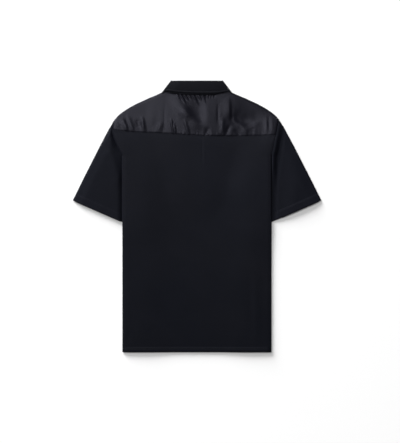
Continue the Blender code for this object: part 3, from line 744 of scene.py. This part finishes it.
fold_z = front_height(edge[:, 0], edge[:, 1]) + half_step
for a in [*turn_steps, math.pi]:
    spot = edge + outward * (half_step * math.sin(a))
    spots.append(np.column_stack([spot, fold_z + half_step * math.cos(a)]))
    cut.append(edge + outward * (half_step * a))
# The ends of the yoke run down the armhole seams, and the rest of it straight down the front.
down = (foot - edge) / np.linalg.norm(foot - edge, axis=1, keepdims=True)
down = np.where(np.abs(tops[:, None]) > 224, down, np.array([[0.0, -1.0]]))
reach = np.full(len(tops), yoke_turn)


def down_front(far):
    """Points this far down the front from the fold, kept inside the armhole."""
    spot = edge + down * far[:, None]
    limits = [armhole(side, spot[:, 1]) - 0.1 for side in ("left", "right")]
    limit = np.where(tops < 0, *limits)
    spot[:, 0] = np.clip(spot[:, 0], -limit, limit)
    return spot


for _ in range(30):
    spot = down_front(reach)
    reach += 0.7 * (spot[:, 1] - shoulder_height(spot[:, 0]) + yoke_turn)
for part in (0.15, 0.3, 0.45, 0.6, 0.75, 0.9, 1.0):
    spot = down_front(reach * part)
    spots.append(np.column_stack([spot, front_height(spot[:, 0], spot[:, 1])]))
    cut.append(edge + outward * (2.5 + yoke_turn * part))
spots, cut = np.array(spots), np.array(cut)
shown = np.zeros(spots.shape[:2], bool)
shown[: len(levels)] = True
shown[:, ~at_neck] = True
yoke = lay_cloth("yoke", spots, cut, nylon.material, keep=shown)
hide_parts("back_yoke")

# The collar: two plies of jersey, folded over a stand that is sewn into the neck seam. At each side it
# turns in a crease from the back to the leaves on the front. A row of stitches runs along its edge.
fall_edge = {
    "x": (-95.7, -92, -88, -78, -64, -42, 0, 40, 64, 73, 85, 90, 95.7),
    "y": (719.2, 723.2, 725.6, 725.8, 723.2, 720.9, 719.3, 719.0, 720.1, 722.4, 723.4, 723.0, 719.2),
}
collar_cloth = knitted("collar_rib", (0.0030, 0.0030, 0.0045), (0.0042, 0.0041, 0.0059))
axis = np.array(crease_end) - crease_top
axis = axis / np.linalg.norm(axis)
side_out = np.array([-axis[1], axis[0]])
crease_z = table + 1.5 * step
collar_half = 70.0  # across the fold at the back; the edge and the neck seam are wider
edge_half = 95.7
neck_corner = (91.3, 724.0)


def along(points, t):
    """The point at t, from 0 to 1, along the line through these points."""
    points = np.array(points, float)
    far = np.concatenate([[0], np.cumsum(np.linalg.norm(np.diff(points, axis=0), axis=1))])
    return np.stack([np.interp(t * far[-1], far, points[:, k]) for k in (0, 1)], axis=-1)


def collar_station(x=None, t=None, turn=None):
    """One line across the collar: x on the back, t from 0 to 1 along the front leaf, turn in the
    crease. It has the places of the fold, the edge and the neck seam, the way up and the way past."""
    if x is not None:
        wide = x * edge_half / collar_half
        seam_x = x * neck_corner[0] / collar_half
        seam = (seam_x, np.interp(seam_x, back_neck["x"], back_neck["y"]) + 0.2)
        spots = ((x, 752.1), (wide, np.interp(wide, fall_edge["x"], fall_edge["y"])), seam)
        z = crease_z + step + 1.6 * smooth((collar_half - abs(x)) / 25)
        return [*[np.array([*p, z]) for p in spots], np.array([0, 0, 1.0]), np.array([0, 1.0, 0])]
    if t is not None:
        neck = list(zip(front_neck["x"], front_neck["y"]))[1:-1]
        seam = along([(3.0, 632.0), *neck, neck_corner], t) + (-0.2, 0.5)
        spots = (along([leaf_top, crease_top], t), along([leaf_point, crease_end], t), seam)
        z = table + half_step
        return [*[np.array([*p, z]) for p in spots], np.array([0, 0, -1.0]), np.array([-0.8, 0.6, 0])]
    shift = side_out * step * math.sin(turn)
    z = crease_z + step * math.cos(turn)
    spots = (crease_top + shift, crease_end + shift, np.array(neck_corner) + shift)
    up = np.array([*(side_out * math.sin(turn)), math.cos(turn)])
    return [*[np.array([*p, z]) for p in spots], up, np.array([*-axis, 0.0])]


side_stations = [collar_station(t=t) for t in (*np.linspace(0, 0.9, 25), 0.93, 0.96, 0.98)]
side_stations += [collar_station(turn=math.pi * (1 - k / 12)) for k in range(13)]
stations = [[p * (-1, 1, 1) for p in s] for s in side_stations]
stations += [collar_station(x=x) for x in np.linspace(-68.5, 68.5, 70)]
stations += side_stations[::-1]
lengthwise = [0.0]
for one, after in zip(stations, stations[1:]):
    lengthwise.append(lengthwise[-1] + np.linalg.norm((after[0] - one[0])[:2]))
on_back = np.array([s[3][2] > 0.9 for s in stations])
fold_turn = np.linspace(math.pi, 0.12 * math.pi, 9)
spots, cut = [], []
for a in fold_turn:
    rise, past = half_step * math.cos(a), half_step * math.sin(a)
    spots.append([s[0] + s[3] * rise + s[4] * past for s in stations])
    cut.append([(x, 46 + half_step * a) for x in lengthwise])
# Down the fall to its edge, where the outer ply turns in over the lower one.
stitch_at = 0.855
rows_down = (0.75, 0.79, 0.82, 0.84, stitch_at, 0.87, 0.885, 0.91, 0.95, 0.985)
edge_rows = [(w, 0, 0) for w in (*np.linspace(0, 0.7, 14), *rows_down)]
edge_rows += [(1, 0, 0), (1, 0.3, 0.45), (1, 0, 0.85), (0.96, 0, 0.9), (0.86, 0, 0.9), (0.7, 0, 0.8)]
for w, past, under in edge_rows:
    row = []
    for s, back_part in zip(stations, on_back):
        down = (s[1] - s[0]) / np.linalg.norm(s[1] - s[0])
        groove = 0.32 * math.exp(-(((w - stitch_at) / 0.016) ** 2)) if under == 0 else 0
        crown = 0.45 * math.sin(math.pi * min(w / stitch_at, 1.0)) + 0.3 * smooth((w - 0.865) / 0.05)
        stand_off = half_step + (crown if back_part else 0.25 * crown) - groove - under
        row.append(s[0] + (s[1] - s[0]) * w + down * past + s[3] * stand_off)
    spots.append(row)
    cut.append([(x, (36 * (1 - w)) if under == 0 else -36 * (1 - w) - 1) for x in lengthwise])
spots, cut = np.array(spots), np.array(cut)
fall = lay_cloth("collar_fall_cloth", spots, cut, collar_cloth, wall=0.85)
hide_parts("collar_fall")
stitch_row = spots[len(fold_turn) + edge_rows.index((stitch_at, 0, 0))]
fall_thread = sew("collar_stitches", [stitch_row + [s[3] * 0.5 for s in stations]], thread)
# The stand goes on under the fold, down to the neck seam.
spots, cut = [], []
for w in np.linspace(0, 1, 14):
    row = []
    for s in stations:
        across_stand = s[2] - s[0]
        start = 0.8 / np.linalg.norm(across_stand)
        row.append(s[0] + across_stand * (start + (1 - start) * w) - s[3] * half_step)
    spots.append(row)
    cut.append([(x, 34 * (1 - w)) for x in lengthwise])
stand = lay_cloth("collar_stand_cloth", np.array(spots), np.array(cut), collar_cloth, wall=1.0)
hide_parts("collar_stand")

# The placket: two strips of jersey on the front, the one with the buttonholes over the one with the
# buttons, each stitched along its edges. It faces the table.
button_heights = (612.0, 565.0, 518.0)
seam_in = 12.8
half_sides = (4, 8, 11.6, 12.4, seam_in, 13.2, 14, 14.6)
sides = (*(-x for x in half_sides[::-1]), 0, *half_sides)
ups = np.linspace(placket_bottom + 0.4, placket_top - 0.4, 60)
groove = {x: 0.22 * math.exp(-(((abs(x) - seam_in) / 0.5) ** 2)) for x in sides}
around_hole = np.linspace(0, 2 * math.pi, 40)
for name, layer in (("placket_upper", 0), ("placket_under", 1)):
    z = table + placket_lift + layer * step
    spots = np.array([[(x, y, z + groove[x]) for x in sides] for y in ups])
    strip = lay_cloth(f"{name}_strip", spots, spots[..., :2], jersey, wall=1.0)
    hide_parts(name)
    lines = [[(x, y, z - 0.34) for y in ups[1:-1]] for x in (-seam_in, seam_in)]
    if layer == 0:
        for y in (placket_bottom + 3, placket_bottom + 14):
            lines.append([(x, y, z - 0.5) for x in (-12, 12)])
        for middle in button_heights:
            ring = [(1.1 * math.cos(a), middle + 7.6 * math.sin(a)) for a in around_hole]
            lines.append([(x, y, z - 0.52) for x, y in ring])
    strip_thread = sew(f"{name}_stitches", lines, thread, stitch=2.3, pitch=2.8, thick=0.42)

# The buttons: dark polished plastic, each a disc with four holes inside a raised rim, which faces the
# table. A cross of thread goes through the holes.
polished = Finish("button", Coat_Weight=0.3)
swirl = polished.noise(polished.node("TexCoord", output=3), 300.0)
polished.feed(
    polished.blend(swirl, (0.009, 0.009, 0.012, 1.0), (0.022, 0.022, 0.029, 1.0)),
    swirl * 0.12 + 0.2,
    swirl,
    0.00003,
)
rim = [(4.1, 0.45), (4.3, 0.12), (4.8, 0.0), (5.3, 0.2)]
rim += [(5.5, 0.7), (5.4, 1.3), (4.6, 1.7), (4.1, 1.35)]
holes_out = 1.35
hole = holes_out * math.cos(math.pi / 4)
for number, middle in enumerate(button_heights, 1):
    bm = bmesh.new()
    bmesh.ops.create_circle(bm, segments=48, radius=4.2)
    for degrees in (45, 135, 225, 315):
        a = math.radians(degrees)
        spot = (holes_out * math.cos(a), holes_out * math.sin(a), 0)
        bmesh.ops.create_circle(bm, segments=12, radius=0.55, matrix=Matrix.Translation(spot))
    bmesh.ops.triangle_fill(bm, use_beauty=True, use_dissolve=False, edges=bm.edges[:])
    grown = bmesh.ops.extrude_face_region(bm, geom=bm.faces[:])["geom"]
    moved = [v for v in grown if isinstance(v, bmesh.types.BMVert)]
    bmesh.ops.translate(bm, vec=(0, 0, 0.8), verts=moved)
    bmesh.ops.translate(bm, vec=(0, 0, 0.5), verts=bm.verts[:])
    ring = [bm.verts.new((out, 0, up)) for out, up in rim]
    loop = [bm.edges.new((a, b)) for a, b in zip(ring, ring[1:] + ring[:1])]
    bmesh.ops.spin(
        bm,
        geom=[*ring, *loop],
        cent=(0, 0, 0),
        axis=(0, 0, 1),
        angle=2 * math.pi,
        steps=48,
        use_merge=True,
    )
    bmesh.ops.remove_doubles(bm, verts=bm.verts[:], dist=1e-4)
    bmesh.ops.recalc_face_normals(bm, faces=bm.faces[:])
    bmesh.ops.translate(bm, vec=(0, middle - length / 2, 0.08), verts=bm.verts[:])
    bmesh.ops.scale(bm, vec=(0.001, 0.001, 0.001), verts=bm.verts[:])
    disc = settle(f"button_disc_{number}", bm, polished.material)
    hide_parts(f"button_{number}")
    crossing = [
        [(-hole, middle - hole, 0.5), (hole, middle + hole, 0.5)],
        [(-hole, middle + hole, 0.45), (hole, middle - hole, 0.45)],
    ]
    cross = sew(f"button_thread_{number}", crossing, thread, stitch=2.8, pitch=1.25, thick=0.4)

# The table: a plain white sheet. A wide soft window lights it from low beyond its upper left corner, a
# soft lamp hangs to the left above it, and the camera looks straight down.
table_drop = 0.0007  # the lowest stitches reach this far down
bm = bmesh.new()
bmesh.ops.create_grid(bm, x_segments=1, y_segments=1, size=3.0)
bmesh.ops.translate(bm, vec=(0, 0, -table_drop), verts=bm.verts[:])
sheet_mesh = bpy.data.meshes.new("table_top")
bm.to_mesh(sheet_mesh)
bm.free()
white = Finish("white_table", Base_Color=(0.9, 0.9, 0.9, 1.0), Roughness=0.9, Specular_IOR_Level=0.0)
sheet_mesh.materials.append(white.material)
table_top = bpy.data.objects.new("table_top", sheet_mesh)
bpy.context.scene.collection.objects.link(table_top)


def hang(lamp, place, watts):
    lamp.energy = watts
    holder = bpy.data.objects.new(lamp.name, lamp)
    bpy.context.scene.collection.objects.link(holder)
    holder.location = place
    holder.rotation_euler = (-Vector(place)).to_track_quat("-Z", "Y").to_euler()


window = bpy.data.lights.new("window", "SUN")
window.angle = math.radians(30)
hang(window, (-5.4, 8.1, 2.6), 7.3)
lamp = bpy.data.lights.new("lamp", "AREA")
lamp.size = 1.7
hang(lamp, (-1.2, 1.3, 4.2), 100)
world = bpy.data.worlds.new("studio")
world.use_nodes = True
world.node_tree.nodes["Background"].inputs[0].default_value = (1, 1, 1, 1)
world.node_tree.nodes["Background"].inputs[1].default_value = 0.15
bpy.context.scene.world = world
bpy.context.scene.view_settings.view_transform = "Standard"
lens = bpy.data.cameras.new("camera")
camera = bpy.data.objects.new("camera", lens)
bpy.context.scene.collection.objects.link(camera)
distance = 3.0
pixel = 0.00278
pixels_wide = 400
camera.location = (0.0087, (362.5 - length / 2) / 1000, distance)
lens.sensor_fit, lens.sensor_width = "HORIZONTAL", 36.0
lens.lens = lens.sensor_width * distance / (pixels_wide * pixel)
bpy.context.scene.camera = camera
